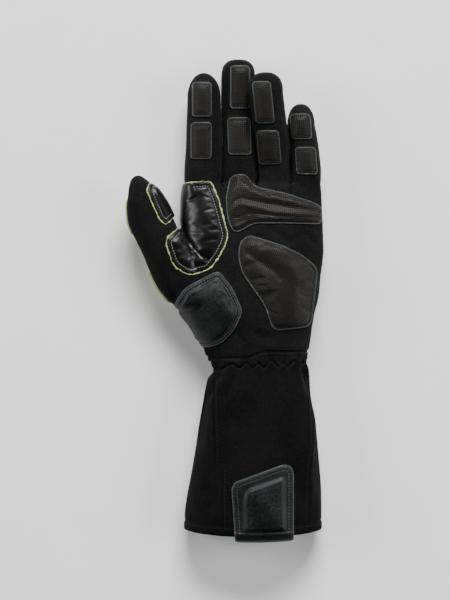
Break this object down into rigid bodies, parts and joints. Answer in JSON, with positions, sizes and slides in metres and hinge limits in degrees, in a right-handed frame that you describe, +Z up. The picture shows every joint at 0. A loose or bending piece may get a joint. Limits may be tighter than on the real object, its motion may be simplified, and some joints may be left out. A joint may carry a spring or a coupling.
{
  "type": "racing driver glove",
  "caption": "Left-hand driver's glove with a long gauntlet cuff, lying palm up: a hollow knit shell with sewn grip pads, web leather, a padded heel and a pull tab.",
  "frame": {"origin": "middle of the glove's plan, on the surface that it lies on", "axes": "+Y towards the fingertips, +Z up out of the palm, +X from the thumb to the little finger"},
  "size_m": [0.1368, 0.3286, 0.0357],
  "materials": {
    "knit": "matte black fine knit",
    "grip_leather": "matte brownish-black leather with small punched holes",
    "smooth_leather": "smooth shiny black leather with soft wrinkles",
    "grained_leather": "fine-grained black leather with a soft sheen",
    "lime_fabric": "pale lime-yellow fabric"
  },
  "bodies": {
    "root": {"palm_panel": "knit", "back_panel": "knit", "gusset_index_middle": "knit", "gusset_middle_ring": "knit", "gusset_ring_little": "knit", "thumb_front": "knit", "thumb_back": "knit", "wrist_gather": "knit", "cuff_front": "knit", "cuff_back": "knit", "cuff_hem": "knit", "index_tip_grip": "grip_leather", "index_lower_grip": "grip_leather", "middle_tip_grip": "grip_leather", "middle_lower_grip": "grip_leather", "ring_tip_grip": "grip_leather", "ring_lower_grip": "grip_leather", "little_tip_grip": "grip_leather", "little_lower_grip": "grip_leather", "knuckle_grip": "grip_leather", "heel_grip": "grip_leather", "web_leather": "smooth_leather", "web_edging": "lime_fabric", "thumb_leather": "smooth_leather", "thumb_edging": "lime_fabric", "thumb_heel_pad": "grained_leather", "lime_knuckle_panel": "lime_fabric", "lime_root_panel": "lime_fabric", "pull_tab": "grained_leather"}
  },
  "joints": []
}
